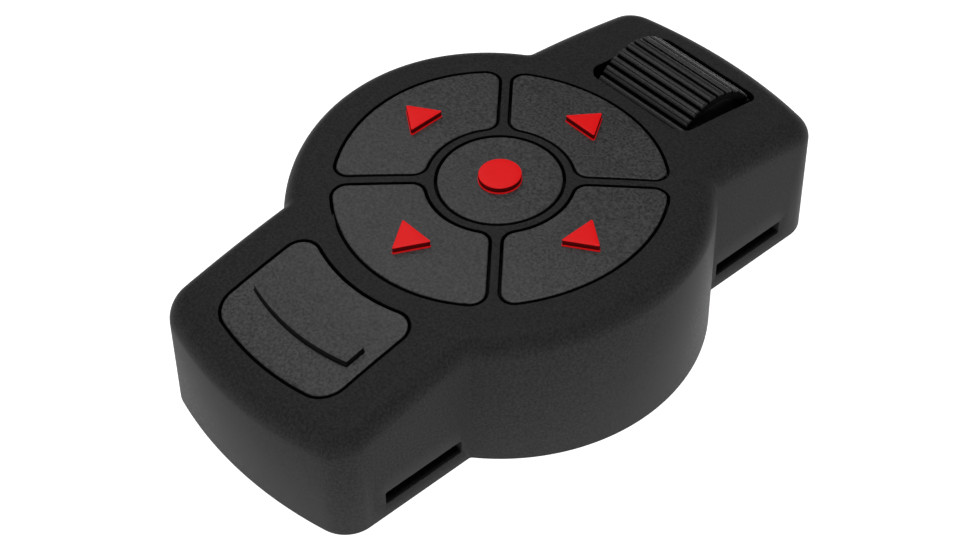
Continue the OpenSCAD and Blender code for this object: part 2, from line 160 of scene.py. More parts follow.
PAD_INNER_R, PAD_OUTER_R, PAD_SPACING, PAD_CORNER_R = 12.25, 26.7, 2.3, 2.2
CENTRE_R = 10.0
CAP_DEPTH, CAP_SHELL, SKIRT = 3.5, 1.6, 1.4
LIP_HALF_W, LIP_REACH, LIP_TURNS = 3.5, 1.45, (-27, 27)
PEG_R, PAD_PEG_R, KEY_PEG_Y = 2.0, 19.5, -40.0
STEM_TOP = node_box("centre_stem")[1][2]

KEY_HALF_W, KEY_INNER_R, KEY_OUTER_R = 13.45, 31.15, 49.2
KEY_CORNER_R = (3.0, 4.3)
RIDGE_HALF_W, RIDGE_INNER_R, RIDGE_OUTER_R, RIDGE_H = 11.1, 39.3, 42.75, 0.95

ARROW_TIP, ARROW_BACK, ARROW_HALF_W, DOT_R = 22.7, 17.5, 3.4, 3.45
MARKER_H, MARKER_SINK = 1.2, 0.75

tyre_low, tyre_high = node_box("wheel_tyre")
WHEEL_Y = (tyre_low[1] + tyre_high[1]) / 2
WHEEL_Z = (tyre_low[2] + tyre_high[2]) / 2
WHEEL_R = (tyre_high[2] - tyre_low[2]) / 2
WHEEL_HALF_W = tyre_high[0]
HUB_R, RIBS, RIB_TURN, TYRE_EDGE_R = 8.2, 30, 3.0, 0.28
GROOVE, SHOULDER, SLIT_DEPTH = 1.05, 0.2, 0.34
SLIT, LAND = 0.035, 0.36
WINDOW = (-11.15, 11.15, 29.8, 48.75)
WINDOW_CORNER_R = (3.0, 3.0, 2.0, 2.0)
WINDOW_EDGE_R = 0.15

SLOT_Y, SLOT_L, SLOT_Z = 36.25, 15.4, (2.9, 5.5)
SLOT_CORNER_R, SLOT_EDGE = 0.3, 0.06

# Each row: the screws in a CAD node, the height of the foot of their bosses, and the bosses' radius
BOSSES = (("base_screws", 2.2, 2.6), ("frame_screws", node_box("button_frame")[1][2], 2.2),
          ("cradle_screws", 19.8, 2.2))
BOSS_BORE_R, LONG_BORE, SHORT_BORE = 0.95, 6.0, 1.5
SCREW_HEAD_R, SCREW_HEAD_H, SCREW_R, THREAD_DEPTH, THREAD_PITCH = 1.8, 1.1, 0.92, 0.2, 0.4


def top_z(y):
    """Height of the arched top over y."""
    return CASE_H - ARCH_R + np.sqrt(ARCH_R ** 2 - (np.asarray(y) - ARCH_Y) ** 2)


# ---------- plan outlines ----------

class Loop:
    """Points and outward normals round a smooth counter-clockwise outline."""

    def __init__(self, points, normals):
        self.points, self.normals = points, normals

    def grown(self, by):
        return self.points + self.normals * by

    def turned(self, degrees):
        a = math.radians(degrees)
        turn = np.array([[math.cos(a), math.sin(a)], [-math.sin(a), math.cos(a)]])
        return Loop(self.points @ turn, self.normals @ turn)


def from_arcs(arcs, step=0.6):
    """Outline of arcs (x, y, radius, first angle, last angle), joined by straight lines. An arc
    that turns clockwise is hollow."""
    points, normals = [], []
    for x, y, radius, first, last in arcs:
        turn = math.radians(last - first)
        count = max(2, math.ceil(abs(turn) * radius / step), math.ceil(abs(turn) / 0.2))
        for k in range(count + 1):
            a = math.radians(first) + turn * k / count
            radial = np.array([math.cos(a), math.sin(a)])
            points.append(np.array([x, y]) + radius * radial)
            normals.append(radial if turn > 0 else -radial)
    out_points, out_normals = [], []
    for i, p in enumerate(points):
        following = points[(i + 1) % len(points)]
        length = np.linalg.norm(following - p)
        if length < 1e-6:
            continue
        count = max(1, math.ceil(length / (2 * step)))
        ends = normals[i], normals[(i + 1) % len(points)]
        for k in range(count):
            share = k / count
            out_points.append(p + (following - p) * share)
            mixed = ends[0] * (1 - share) + ends[1] * share
            out_normals.append(mixed / np.linalg.norm(mixed))
    return Loop(np.array(out_points), np.array(out_normals))


def degrees_of(p):
    return math.degrees(math.atan2(p[1], p[0]))


def case_outline():
    end_y = HALF_L - EAR_END_R
    reach = EAR_END_R - EAR_CORNER_R
    corner = (EAR_HALF_W - EAR_CORNER_R,
              end_y + math.sqrt(reach ** 2 - (EAR_HALF_W - EAR_CORNER_R) ** 2))
    hollow_x = EAR_HALF_W + JUNCTION_R
    hollow = (hollow_x, math.sqrt((BODY_R + JUNCTION_R) ** 2 - hollow_x ** 2))
    side, end = degrees_of(hollow), degrees_of((corner[0], corner[1] - end_y))
    arcs = []
    for flip in (1, -1):
        turn = 0 if flip > 0 else 180
        arcs += [
            (0, 0, BODY_R, turn, turn + side),
            (flip * hollow[0], flip * hollow[1], JUNCTION_R, turn + side + 180, turn + 180),
            (flip * corner[0], flip * corner[1], EAR_CORNER_R, turn, turn + end),
            (0, flip * end_y, EAR_END_R, turn + end, turn + 180 - end),
            (-flip * corner[0], flip * corner[1], EAR_CORNER_R, turn + 180 - end, turn + 180),
            (-flip * hollow[0], flip * hollow[1], JUNCTION_R, turn, turn - side),
            (0, 0, BODY_R, turn + 180 - side, turn + 180),
        ]
    return from_arcs(arcs)


def pad_outline():
    """Direction button that points along +X."""
    along = np.array([1, 1]) / math.sqrt(2)
    across = np.array([-1, 1]) / math.sqrt(2)
    inset = PAD_SPACING / 2 + PAD_CORNER_R
    outer = along * math.sqrt((PAD_OUTER_R - PAD_CORNER_R) ** 2 - inset ** 2) - across * inset
    inner = along * math.sqrt((PAD_INNER_R + PAD_CORNER_R) ** 2 - inset ** 2) - across * inset
    a, b, r = degrees_of(outer), degrees_of(inner), PAD_CORNER_R
    return from_arcs([
        (0, 0, PAD_OUTER_R, -a, a),
        (outer[0], outer[1], r, a, 135),
        (inner[0], inner[1], r, 135, b + 180),
        (0, 0, PAD_INNER_R, b, -b),
        (inner[0], -inner[1], r, 180 - b, 225),
        (outer[0], -outer[1], r, 225, 360 - a),
    ])


def bowed_outline(half_w, inner_r, outer_r, inner_corner, outer_corner):
    """Piece between two arcs about the pad's middle, on the -Y side."""
    near_x, far_x = half_w - inner_corner, half_w - outer_corner
    near = (near_x, math.sqrt((inner_r + inner_corner) ** 2 - near_x ** 2))
    far = (far_x, math.sqrt((outer_r - outer_corner) ** 2 - far_x ** 2))
    a, b = degrees_of(far), degrees_of(near)
    return from_arcs([
        (near[0], near[1], inner_corner, b + 180, 360),
        (far[0], far[1], outer_corner, 0, a),
        (0, 0, outer_r, a, 180 - a),
        (-far[0], far[1], outer_corner, 180 - a, 180),
        (-near[0], near[1], inner_corner, 180, 360 - b),
        (0, 0, inner_r, 180 - b, b),
    ]).turned(180)


def convex_outline(corners, radii, step=0.6):
    """Straight-sided outline with rounded corners."""
    corners = [np.array(c, float) for c in corners]
    arcs = []
    for i, (corner, radius) in enumerate(zip(corners, np.broadcast_to(radii, len(corners)))):
        before, after = corners[i - 1] - corner, corners[(i + 1) % len(corners)] - corner
        before, after = before / np.linalg.norm(before), after / np.linalg.norm(after)
        half = math.acos(float(before @ after)) / 2
        middle = (before + after) / np.linalg.norm(before + after)
        centre = corner + middle * radius / math.sin(half)
        first = degrees_of((-before[1], before[0]))
        arcs.append((centre[0], centre[1], radius, first, first + 180 - math.degrees(2 * half)))
    return from_arcs(arcs, step)


def circle_outline(x, y, radius, count=96):
    a = np.arange(count) * 2 * math.pi / count
    normals = np.stack([np.cos(a), np.sin(a)], 1)
    return Loop(np.array([x, y]) + radius * normals, normals)


def box_outline(x0, x1, y0, y1, radii, step=0.6):
    return convex_outline([(x0, y0), (x1, y0), (x1, y1), (x0, y1)], radii, step)


# ---------- meshes ----------

def holds(polygon, points):
    """For each point, whether it lies inside the polygon."""
    x, y = points[:, 0][:, None], points[:, 1][:, None]
    x0, y0 = polygon[:, 0], polygon[:, 1]
    x1, y1 = np.roll(x0, -1), np.roll(y0, -1)
    spans = (y0 > y) != (y1 > y)
    rise = np.where(y1 == y0, 1e-12, y1 - y0)
    return (np.sum(spans & (x < x0 + (x1 - x0) * (y - y0) / rise), 1) % 2).astype(bool)


class Shell:
    """A mesh under construction: rings of points, bands between them and filled faces."""

    def __init__(self):
        self.points, self.faces, self.shaded = [], [], set()

    def ring(self, points):
        first = len(self.points)
        self.points.extend(tuple(map(float, p)) for p in points)
        return list(range(first, len(self.points)))

    def band(self, a, b, keep=None, shade=None):
        """Faces between two rings. With keep, only the faces it flags. Those that shade flags get the darker material,
        which paints shade on them."""
        for i in range(len(a)):
            j = (i + 1) % len(a)
            if keep is None or keep[i]:
                if shade is not None and shade[i]:
                    self.shaded.add(len(self.faces))
                self.faces.append((a[i], a[j], b[j], b[i]))

    def loft(self, rings, shaded=()):
        """Bands from ring to ring, with painted shade where the band's number is in shaded. Returns the rings."""
        for k, (a, b) in enumerate(zip(rings, rings[1:])):
            self.band(a, b, shade=[k in shaded] * len(a))
        return rings

    def close(self, first, last):
        """Flat faces over the two ends of a loft."""
        self.faces += [tuple(first), tuple(reversed(last))]

    def follow(self, loop, profile, shaded=()):
        """Loft through rings at (growth, depth below the arched top)."""
        return self.loft([self.ring(on_arch(loop.grown(g), d)) for g, d in profile], shaded)

    def stack(self, loop, profile):
        """Loft through rings at (growth, height)."""
        return self.loft([self.ring(at_height(loop.grown(g), z)) for g, z in profile])

    def fill(self, outer, holes=(), depth=0.0, pitch=1.6, flat=None, lift=None):
        """Triangles between rings of points, with a grid inside so that a curved face stays smooth."""
        flat = flat or (lambda p: (p[0], p[1]))
        lift = lift or (lambda u, v: (u, v, float(top_z(v)) - depth))
        loops = [list(outer)] + [list(h) for h in holes]
        edge = [np.array([flat(self.points[i]) for i in loop]) for loop in loops]
        known = np.concatenate(edge)
        low, high = edge[0].min(0), edge[0].max(0)
        axes = [np.arange(a + pitch / 2, b, pitch) for a, b in zip(low, high)]
        grid = np.stack(np.meshgrid(*axes), -1).reshape(-1, 2)
        if len(grid):
            inner = holds(edge[0], grid)
            for hole in edge[1:]:
                inner &= ~holds(hole, grid)
            grid = grid[inner]
            gaps = np.array([np.min(np.sum((known - g) ** 2, 1)) for g in grid])
            grid = grid[gaps > (0.55 * pitch) ** 2] if len(grid) else grid
        flat_points = [Vector(map(float, p)) for p in np.concatenate([known, grid])]
        edges, first = [], 0
        for loop in loops:
            edges += [(first + k, first + (k + 1) % len(loop)) for k in range(len(loop))]
            first += len(loop)
        places, _, faces, came_from, _, _ = delaunay_2d_cdt(flat_points, edges, [], 0, 1e-7)
        index = sum(loops, []) + self.ring([lift(*g) for g in grid])
        number = [index[came_from[k][0]] if came_from[k] else None for k in range(len(places))]
        if None in number:
            raise ValueError("an outline crosses itself")
        corners = np.array([tuple(p) for p in places])[np.array([tuple(f) for f in faces])]
        sides = np.roll(corners, -1, 1) - corners
        area = sides[:, 0, 0] * sides[:, 1, 1] - sides[:, 0, 1] * sides[:, 1, 0]
        middles = corners.mean(1)
        # Slivers along a straight edge have no area to speak of and are dropped
        inner = np.abs(area) > 5e-5 * np.sqrt((sides ** 2).sum(2).max(1))
        inner &= holds(edge[0], middles)
        for hole in edge[1:]:
            inner &= ~holds(hole, middles)
        self.faces += [tuple(number[k] for k in f) for f, ok in zip(faces, inner) if ok]

    def tube(self, x, y, z0, z1, outer_r, inner_r, bore_top, count=32):
        """A round boss that stands from z0 to z1, with a blind bore from z0 up to bore_top."""
        outer, inner = circle_outline(x, y, outer_r, count), circle_outline(x, y, inner_r, count)
        rings = self.loft([self.ring(at_height(loop.grown(g), z)) for loop, g, z in
                           ((outer, 0, z1), (outer, 0, z0 + 0.15), (outer, -0.15, z0),
                            (inner, 0.1, z0), (inner, 0, z0 + 0.1), (inner, 0, bore_top))])
        self.close(rings[0], rings[-1])

    def build(self, name, smooth_below=32.0):
        mesh = bpy.data.meshes.new(name)
        build = bmesh.new()
        made = [build.verts.new(Vector(p) * MM) for p in self.points]
        for number, face in enumerate(self.faces):
            corners = [made[k] for k in dict.fromkeys(face)]
            if len(corners) > 2:
                try:
                    # Faces in shaded take the second material, which paints shade on them
                    build.faces.new(corners).material_index = int(number in self.shaded)
                except ValueError:
                    pass
        bmesh.ops.remove_doubles(build, verts=build.verts, dist=2e-6)
        loose = [v for v in build.verts if not v.link_faces]
        bmesh.ops.delete(build, geom=loose, context="VERTS")
        bmesh.ops.recalc_face_normals(build, faces=build.faces)
        for face in build.faces:
            face.smooth = True
        build.to_mesh(mesh)
        build.free()
        mesh.set_sharp_from_angle(angle=math.radians(smooth_below))
        piece = bpy.data.objects.new(name, mesh)
        bpy.context.scene.collection.objects.link(piece)
        return piece


def on_arch(plan, depth=0.0):
    return np.column_stack([plan, top_z(plan[:, 1]) - depth])


def at_height(plan, z):
    return np.column_stack([plan, np.full(len(plan), float(z))])


def rounding(start, radius, steps=4, sign=-1):
    """(growth, depth) of a rounded top edge, from the flat top round to the side."""
    return [(start + sign * radius * (1 - math.sin(a)), radius * (1 - math.cos(a)))
            for a in np.linspace(0, math.pi / 2, steps + 1)]


# ---------- materials ----------

def material(name, colour, roughness, **inputs):
    made = bpy.data.materials.new(name)
    made.use_nodes = True
    tree = made.node_tree
    shader = tree.nodes["Principled BSDF"]
    shader.inputs["Base Color"].default_value = (*colour, 1)
    shader.inputs["Roughness"].default_value = roughness
    for key, value in inputs.items():
        shader.inputs[key.replace("_", " ")].default_value = value
    return made, tree, shader


def add(tree, kind, links=None, **settings):
    node = tree.nodes.new(kind)
    for key, value in settings.items():
        if hasattr(node, key):
            setattr(node, key, value)
        else:
            node.inputs[key.replace("_", " ")].default_value = value
    for key, source in (links or {}).items():
        tree.links.new(source, node.inputs[key])
    return node


def spread(tree, source, low, high, from_low=0.3, from_high=0.7):
    """Source mapped to low..high."""
    node = add(tree, "ShaderNodeMapRange", {"Value": source})
    for key, value in (("From Min", from_low), ("From Max", from_high), ("To Min", low), ("To Max", high)):
        node.inputs[key].default_value = value
    return node.outputs["Result"]


def noise(tree, size_mm, detail=2.0, roughness=0.5, stretch=None):
    """Noise in the object's own space, whose features are about size_mm across."""
    place = add(tree, "ShaderNodeTexCoord").outputs["Object"]
    if stretch:
        place = add(tree, "ShaderNodeMapping", {"Vector": place}, Scale=stretch).outputs["Vector"]
    return add(tree, "ShaderNodeTexNoise", {"Vector": place}, Scale=1 / (size_mm * MM), Detail=detail,
               Roughness=roughness).outputs["Fac"]


def tinted(tree, source, dark, light):
    ramp = add(tree, "ShaderNodeValToRGB", {"Fac": source})
    ramp.color_ramp.elements[0].position = 0.28
    ramp.color_ramp.elements[1].position = 0.72
    ramp.color_ramp.elements[0].color = (*dark, 1)
    ramp.color_ramp.elements[1].color = (*light, 1)
    return ramp.outputs["Color"]


def scaled(colour, by):
    return tuple(c * by for c in colour)


def grained(name, colour, roughness, grain=0.3, depth=0.012, contrast=0.2, rough_range=0.07, **inputs):
    """Moulded plastic or rubber with a fine spark-eroded grain."""
    made, tree, shader = material(name, colour, roughness, **inputs)
    fine = noise(tree, grain, 2.0, 0.6)
    cloud = noise(tree, 9.0, 3.0)
    speck = noise(tree, grain * 1.7, 1.0, 0.7)
    blend = add(tree, "ShaderNodeMix", {"A": speck, "B": cloud}, data_type="FLOAT", Factor=0.1)
    tree.links.new(tinted(tree, blend.outputs["Result"], scaled(colour, 1 - contrast),
                          scaled(colour, 1 + contrast)), shader.inputs["Base Color"])
    tree.links.new(spread(tree, speck, roughness - rough_range, roughness + rough_range),
                   shader.inputs["Roughness"])
    bump = add(tree, "ShaderNodeBump", {"Height": fine}, Strength=0.55, Distance=depth * MM)
    tree.links.new(bump.outputs["Normal"], shader.inputs["Normal"])
    return made


def brushed(name, colour, roughness, stretch=(1, 1, 12)):
    """Plain metal with fine marks and a few dull patches."""
    made, tree, shader = material(name, colour, roughness, Metallic=1.0)
    marks = noise(tree, 0.5, 3.0, 0.6, stretch)
    patches = noise(tree, 3.0, 3.0)
    tree.links.new(tinted(tree, patches, scaled(colour, 0.86), colour), shader.inputs["Base Color"])
    tree.links.new(spread(tree, marks, roughness - 0.08, roughness + 0.12), shader.inputs["Roughness"])
    bump = add(tree, "ShaderNodeBump", {"Height": marks}, Strength=0.3, Distance=0.004 * MM)
    tree.links.new(bump.outputs["Normal"], shader.inputs["Normal"])
    return made


def circuit(name):
    """Green solder mask over faint copper fill."""
    made, tree, shader = material(name, (0.02, 0.16, 0.07), 0.35)
    place = add(tree, "ShaderNodeTexCoord").outputs["Object"]
    tracks = add(tree, "ShaderNodeTexVoronoi", {"Vector": place}, feature="DISTANCE_TO_EDGE",
                 distance="MANHATTAN", Scale=1 / (2.2 * MM)).outputs["Distance"]
    line = spread(tree, tracks, 0.0, 1.0, 0.05, 0.09)
    tree.links.new(tinted(tree, line, (0.012, 0.10, 0.045), (0.025, 0.20, 0.085)),
                   shader.inputs["Base Color"])
    bump = add(tree, "ShaderNodeBump", {"Height": line}, Strength=0.5, Distance=0.03 * MM)
    tree.links.new(bump.outputs["Normal"], shader.inputs["Normal"])
    return made


CASE = grained("case_grain", (0.041, 0.041, 0.0413), 0.45, grain=0.26, depth=0.03, contrast=0.3,
               Specular_IOR_Level=0.03)
BUTTON = grained("button_grain", (0.066, 0.066, 0.067), 0.45, grain=0.28, depth=0.06, contrast=0.65,
                 Specular_IOR_Level=0.4)
# The red's emission is a painted glow: the markers are no lamp
RED = grained("marker_grain_painted_glow", (0.80, 0.012, 0.014), 0.42, grain=0.3, depth=0.006, contrast=0.09,
              Specular_IOR_Level=0.15, Emission_Color=(0.8, 0.005, 0.006, 1), Emission_Strength=0.36)
RUBBER = grained("wheel_grain", (0.05, 0.05, 0.05), 0.45, grain=0.2, depth=0.01, contrast=0.3,
                 Specular_IOR_Level=0.3)
INNER = grained("inner_grain", (0.03, 0.03, 0.031), 0.5, grain=0.5, depth=0.01, contrast=0.15)
SWITCH = grained("switch_grain", (0.016, 0.016, 0.017), 0.45, grain=0.4, depth=0.006, contrast=0.15)
NYLON = grained("nylon_grain", (0.60, 0.58, 0.51), 0.42, grain=0.6, depth=0.006, contrast=0.06)
CELL = grained("cell_sleeve", (0.05, 0.055, 0.065), 0.3, grain=1.5, depth=0.004, contrast=0.12)
STEEL = brushed("plain_steel", (0.56, 0.56, 0.57), 0.32)
BRASS = brushed("turned_brass", (0.62, 0.45, 0.18), 0.3, (10, 1, 1))
BOARD = circuit("solder_mask")

FINISH = {
    "case_plastic": CASE, "button_plastic": BUTTON, "marker_red": RED, "wheel_rubber": RUBBER,
    "inner_plastic": INNER, "switch_plastic": SWITCH, "nylon": NYLON, "circuit_board": BOARD,
    "screw_steel": STEEL, "bush_brass": BRASS, "cell_jacket": CELL,
}
# Painted shade: darker copies of the finishes, laid on narrow gaps, grooves and the sides of small raised features
# where shade falls
PAINTED_SHADE = {
    "case_plastic": grained("case_painted_gap_shade", (0.004, 0.004, 0.004), 0.6, contrast=0.3,
                            Specular_IOR_Level=0.05),
    "button_plastic": grained("button_sides", (0.014, 0.014, 0.014), 0.6, contrast=0.3,
                              Specular_IOR_Level=0.1),
    "marker_red": grained("marker_painted_side_shade", (0.28, 0.006, 0.008), 0.5, grain=0.3, depth=0.006, contrast=0.1,
                          Specular_IOR_Level=0.1),
    "wheel_rubber": grained("wheel_painted_groove_shade", (0.006, 0.006, 0.006), 0.6, grain=0.2, depth=0.01,
                            contrast=0.3, Specular_IOR_Level=0.1),
}
node_slots = {s["node"]: s["material_slot"] for s in frame["record"]["subparts"]}
for node_name, cad_object in frame["nodes"].items():
    cad_object.data.materials.clear()
    cad_object.data.materials.append(FINISH[node_slots[node_name]])


def finish_piece(piece, body, slot, *nodes):
    """Gives a piece its finish, the body it moves with, its slot and the CAD nodes it replaces."""
    piece.data.materials.append(FINISH[slot])
    # Faces marked for painted shade take the darker copy of the finish as a second material
    if any(face.material_index for face in piece.data.polygons):
        piece.data.materials.append(PAINTED_SHADE[slot])
    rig.ride(piece, body)
    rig.slot(piece, slot)
    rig.replaces(piece, *nodes)


# ---------- case ----------

PAD = pad_outline()
KEY = bowed_outline(KEY_HALF_W, KEY_INNER_R, KEY_OUTER_R, *KEY_CORNER_R)
WINDOW_LOOP = box_outline(*WINDOW, WINDOW_CORNER_R)
CENTRE = circle_outline(0, 0, CENTRE_R, 128)


def build_case():
    shell = Shell()
    outline = case_outline()
    rim = FOOT_EDGE
    top_rings = shell.follow(outline, [(-EDGE_R - 0.6, 0)] + rounding(0, EDGE_R, 12))
    foot = shell.stack(outline, [(0, rim), (-rim * 0.3, rim * 0.3), (-rim, 0), (-WALL + rim, 0),
                                 (-WALL, rim)])
    inside_top = shell.ring(on_arch(outline.grown(-WALL), SKIN))

    # The slots pass through the straight walls of the ears, so those stretches are filled apart
    straight = [abs(abs(n[0]) - 1) < 1e-6 and abs(p[1]) > SLOT_Y / 2
                for p, n in zip(outline.points, outline.normals)]
    count = len(straight)
    solid = [not (straight[i] and straight[(i + 1) % count]) for i in range(count)]
    shell.band(top_rings[-1], foot[0], solid)
    shell.band(foot[-1], inside_top, solid)
    starts = [i for i in range(count) if solid[i - 1] and not solid[i]]
    for start in starts:
        run = [start]
        while not solid[run[-1]]:
            run.append((run[-1] + 1) % count)
        x = outline.points[start][0]
        y = math.copysign(SLOT_Y, outline.points[start][1])
        slot = box_outline(y - SLOT_L / 2, y + SLOT_L / 2, *SLOT_Z, SLOT_CORNER_R, 0.3)
        edge = SLOT_EDGE
        side = math.copysign(1, x)
        rings = shell.loft([shell.ring([(side * (abs(x) - inset), *p) for p in slot.grown(g)])
                            for g, inset in ((edge, 0), (edge * 0.3, edge * 0.3), (0, edge), (0, WALL))])
        for high, low, hole, depth in ((top_rings[-1], foot[0], rings[0], 0),
                                       (inside_top, foot[-1], rings[-1], WALL)):
            frame_ring = [high[i] for i in run] + [low[i] for i in reversed(run)]
            shell.fill(frame_ring, [hole], pitch=2.5, flat=lambda p: (p[1], p[2]),
                       lift=lambda u, v, d=depth: (side * (abs(x) - d), u, v))

    holes_out, holes_in = [], []
    openings = [PAD.turned(turn) for turn in QUARTERS.values()] + [CENTRE, KEY]
    for loop in openings:
        # The walls of the gaps round each button get painted shade (bands 4 and 5)
        rings = shell.follow(loop, [(GAP + HOLE_EDGE_R + 0.18, 0)]
                             + rounding(GAP, HOLE_EDGE_R, 4, 1) + [(GAP, SKIN)], (4, 5))
        holes_out.append(rings[0])
        holes_in.append(rings[-1])
    # The walls of the wheel window get painted shade too (bands 5 and 6)
    rings = shell.follow(WINDOW_LOOP, [(0.4, 0)] + rounding(0, WINDOW_EDGE_R, 4, 1)
                         + [(0, 1.2), (1.0, SKIN)], (5, 6))
    holes_out.append(rings[0])
    holes_in.append(rings[-1])
    shell.fill(top_rings[0], holes_out, 0)
    shell.fill(inside_top, holes_in, SKIN, 3.0)

    # Bosses under the top for the screws, each open at its foot
    for node, z, r in BOSSES:
        bore = LONG_BORE if node == "base_screws" else SHORT_BORE
        for x, y in screw_places(node)[0]:
            shell.tube(x, y, z, float(top_z(y)) - SKIN + 0.6, r, BOSS_BORE_R, z + bore)
    finish_piece(shell.build("case_shell"), "housing", "case_plastic", "upper_case")


def screw_places(node):
    """(x, y) of each separate screw in a CAD node, and the node's lowest and highest z."""
    low, high = node_box(node)
    points = np.array([v.co for v in frame["nodes"][node].data.vertices])[:, :2] / MM
    groups = []
    for p in points:
        near = next((g for g in groups if np.linalg.norm(np.mean(g, 0) - p) < 4.5), None)
        if near is None:
            groups.append([p])
        else:
            near.append(p)
    centres = [((np.min(g, 0) + np.max(g, 0)) / 2) for g in groups]
    return centres, low[2], high[2]


build_case()


# ---------- buttons ----------

def cap(shell, loop, hole_ring):
    """A cap with a rounded top edge, a skirt and a hollow underside, whose top meets hole_ring."""
    top = [(-CAP_EDGE_R - 0.2, 0)] + rounding(0, CAP_EDGE_R, 5)
    # The outer part of the cap's rounded top edge and its side down to the foot get painted shade (bands 5 to 7)
    rings = shell.follow(loop, top + [(0, CAP_DEPTH - 0.2), (-0.2, CAP_DEPTH), (-SKIRT + 0.1, CAP_DEPTH),
                                      (-SKIRT, CAP_DEPTH - 0.1), (-SKIRT, CAP_SHELL)], (5, 6, 7))
    shell.fill(rings[0], [hole_ring], 0, 1.4)
    shell.fill(rings[-1], [], CAP_SHELL, 3.0)


def peg(shell, x, y):
    """Peg under a cap, from inside the shell down to its switch's stem."""
    loop = circle_outline(x, y, PEG_R, 40)
    rings = shell.stack(loop, [(0, float(top_z(y)) - CAP_SHELL + 0.4), (0, STEM_TOP + 0.2),
                               (-0.2, STEM_TOP)])
    shell.close(rings[0], rings[-1])


def lip(shell, turn):
    """Retaining lip on the outer edge of a direction button."""
    around = np.radians(turn + np.linspace(-1, 1, 9) * math.degrees(LIP_HALF_W / PAD_OUTER_R))
    spokes = np.stack([np.cos(around), np.sin(around)], 1)
    bar = np.concatenate([spokes * (PAD_OUTER_R + LIP_REACH), spokes[::-1] * (PAD_OUTER_R - 0.4)])
    rings = shell.follow(Loop(bar, np.zeros_like(bar)), [(0, SKIN + 0.3), (0, CAP_DEPTH)])
    shell.close(rings[0], rings[-1])


def pocket(shell, loop):
    """Pocket that a red marker sits in. Returns the ring at its mouth."""
    rings = shell.follow(loop, [(0.05, 0), (0.05, MARKER_SINK + 0.02)])
    shell.fill(rings[-1], [], MARKER_SINK + 0.02, 3.0)
    return rings[0]


def build_marker(name, body, node, loop):
    """Red insert with a thin foot where it leaves the button."""
    shell = Shell()
    h, foot = MARKER_H, 0.1
    profile = [(-0.16, -h), (-0.05, -h + 0.03), (0, -h + 0.1), (0, -0.26), (foot * 0.8, -0.18),
               (foot, -0.12), (foot, -0.012), (0, -0.012), (0, MARKER_SINK)]
    # Its side wall above the foot takes a darker red: painted shade (band 2)
    rings = shell.follow(loop, profile, (2,))
    shell.fill(rings[0], [], -h, 0.8)
    shell.fill(rings[-1], [], MARKER_SINK, 2.0)
    finish_piece(shell.build(name, 40), body, "marker_red", node)


ARROW = convex_outline([(ARROW_BACK, -ARROW_HALF_W), (ARROW_TIP, 0), (ARROW_BACK, ARROW_HALF_W)], 0.2, 0.4)
DOT = circle_outline(0, 0, DOT_R, 96)

for side, angle in QUARTERS.items():
    shell = Shell()
    arrow = ARROW.turned(angle)
    cap(shell, PAD.turned(angle), pocket(shell, arrow))
    peg(shell, PAD_PEG_R * math.cos(math.radians(angle)), PAD_PEG_R * math.sin(math.radians(angle)))
    for offset in LIP_TURNS:
        lip(shell, angle + offset)
    finish_piece(shell.build(side + "_cap"), side + "_press", "button_plastic", side + "_button")
    build_marker(side + "_marker", side + "_press", side + "_arrow", arrow)

shell = Shell()
cap(shell, CENTRE, pocket(shell, DOT))
peg(shell, 0, 0)
finish_piece(shell.build("centre_cap"), "centre_press", "button_plastic", "centre_button")
build_marker("centre_marker", "centre_press", "centre_dot", DOT)


def build_key():
    """Key with its ridge, which stands in a fine groove."""
    shell = Shell()
    ridge = bowed_outline(RIDGE_HALF_W, RIDGE_INNER_R, RIDGE_OUTER_R, 0.2, 0.2)
    # The fine groove and the ridge's sides and top edge get painted shade (bands 0 to 4)
    rings = shell.follow(ridge, [(0.16, 0), (0.15, 0.14), (0.02, 0.14), (0, -RIDGE_H + 0.06),
                                 (-0.02, -RIDGE_H + 0.02), (-0.06, -RIDGE_H), (-0.16, -RIDGE_H)],
                         (0, 1, 2, 3, 4))
    shell.fill(rings[-1], [], -RIDGE_H, 1.2)
    cap(shell, KEY, rings[0])
    peg(shell, 0, KEY_PEG_Y)
    finish_piece(shell.build("ridge_key_cap"), "key_press", "button_plastic", "ridge_key")


build_key()


# ---------- thumb wheel ----------

def rib_depth(t):
    """Depth below the tip circle at t pitches from a rib's middle: two soft lobes with a slit
    between them, and a groove at each side."""
    t = abs(t)
    if t > LAND:
        u = (0.5 - t) / (0.5 - LAND)
        return SHOULDER + (GROOVE - SHOULDER) * (1 - u ** 2) ** 0.55
    lobe = SHOULDER * max(0.0, 2 * t / LAND - 1) ** 2
    return lobe + SLIT_DEPTH * (1 - (t / SLIT) ** 2) ** 0.5 if t < SLIT else lobe


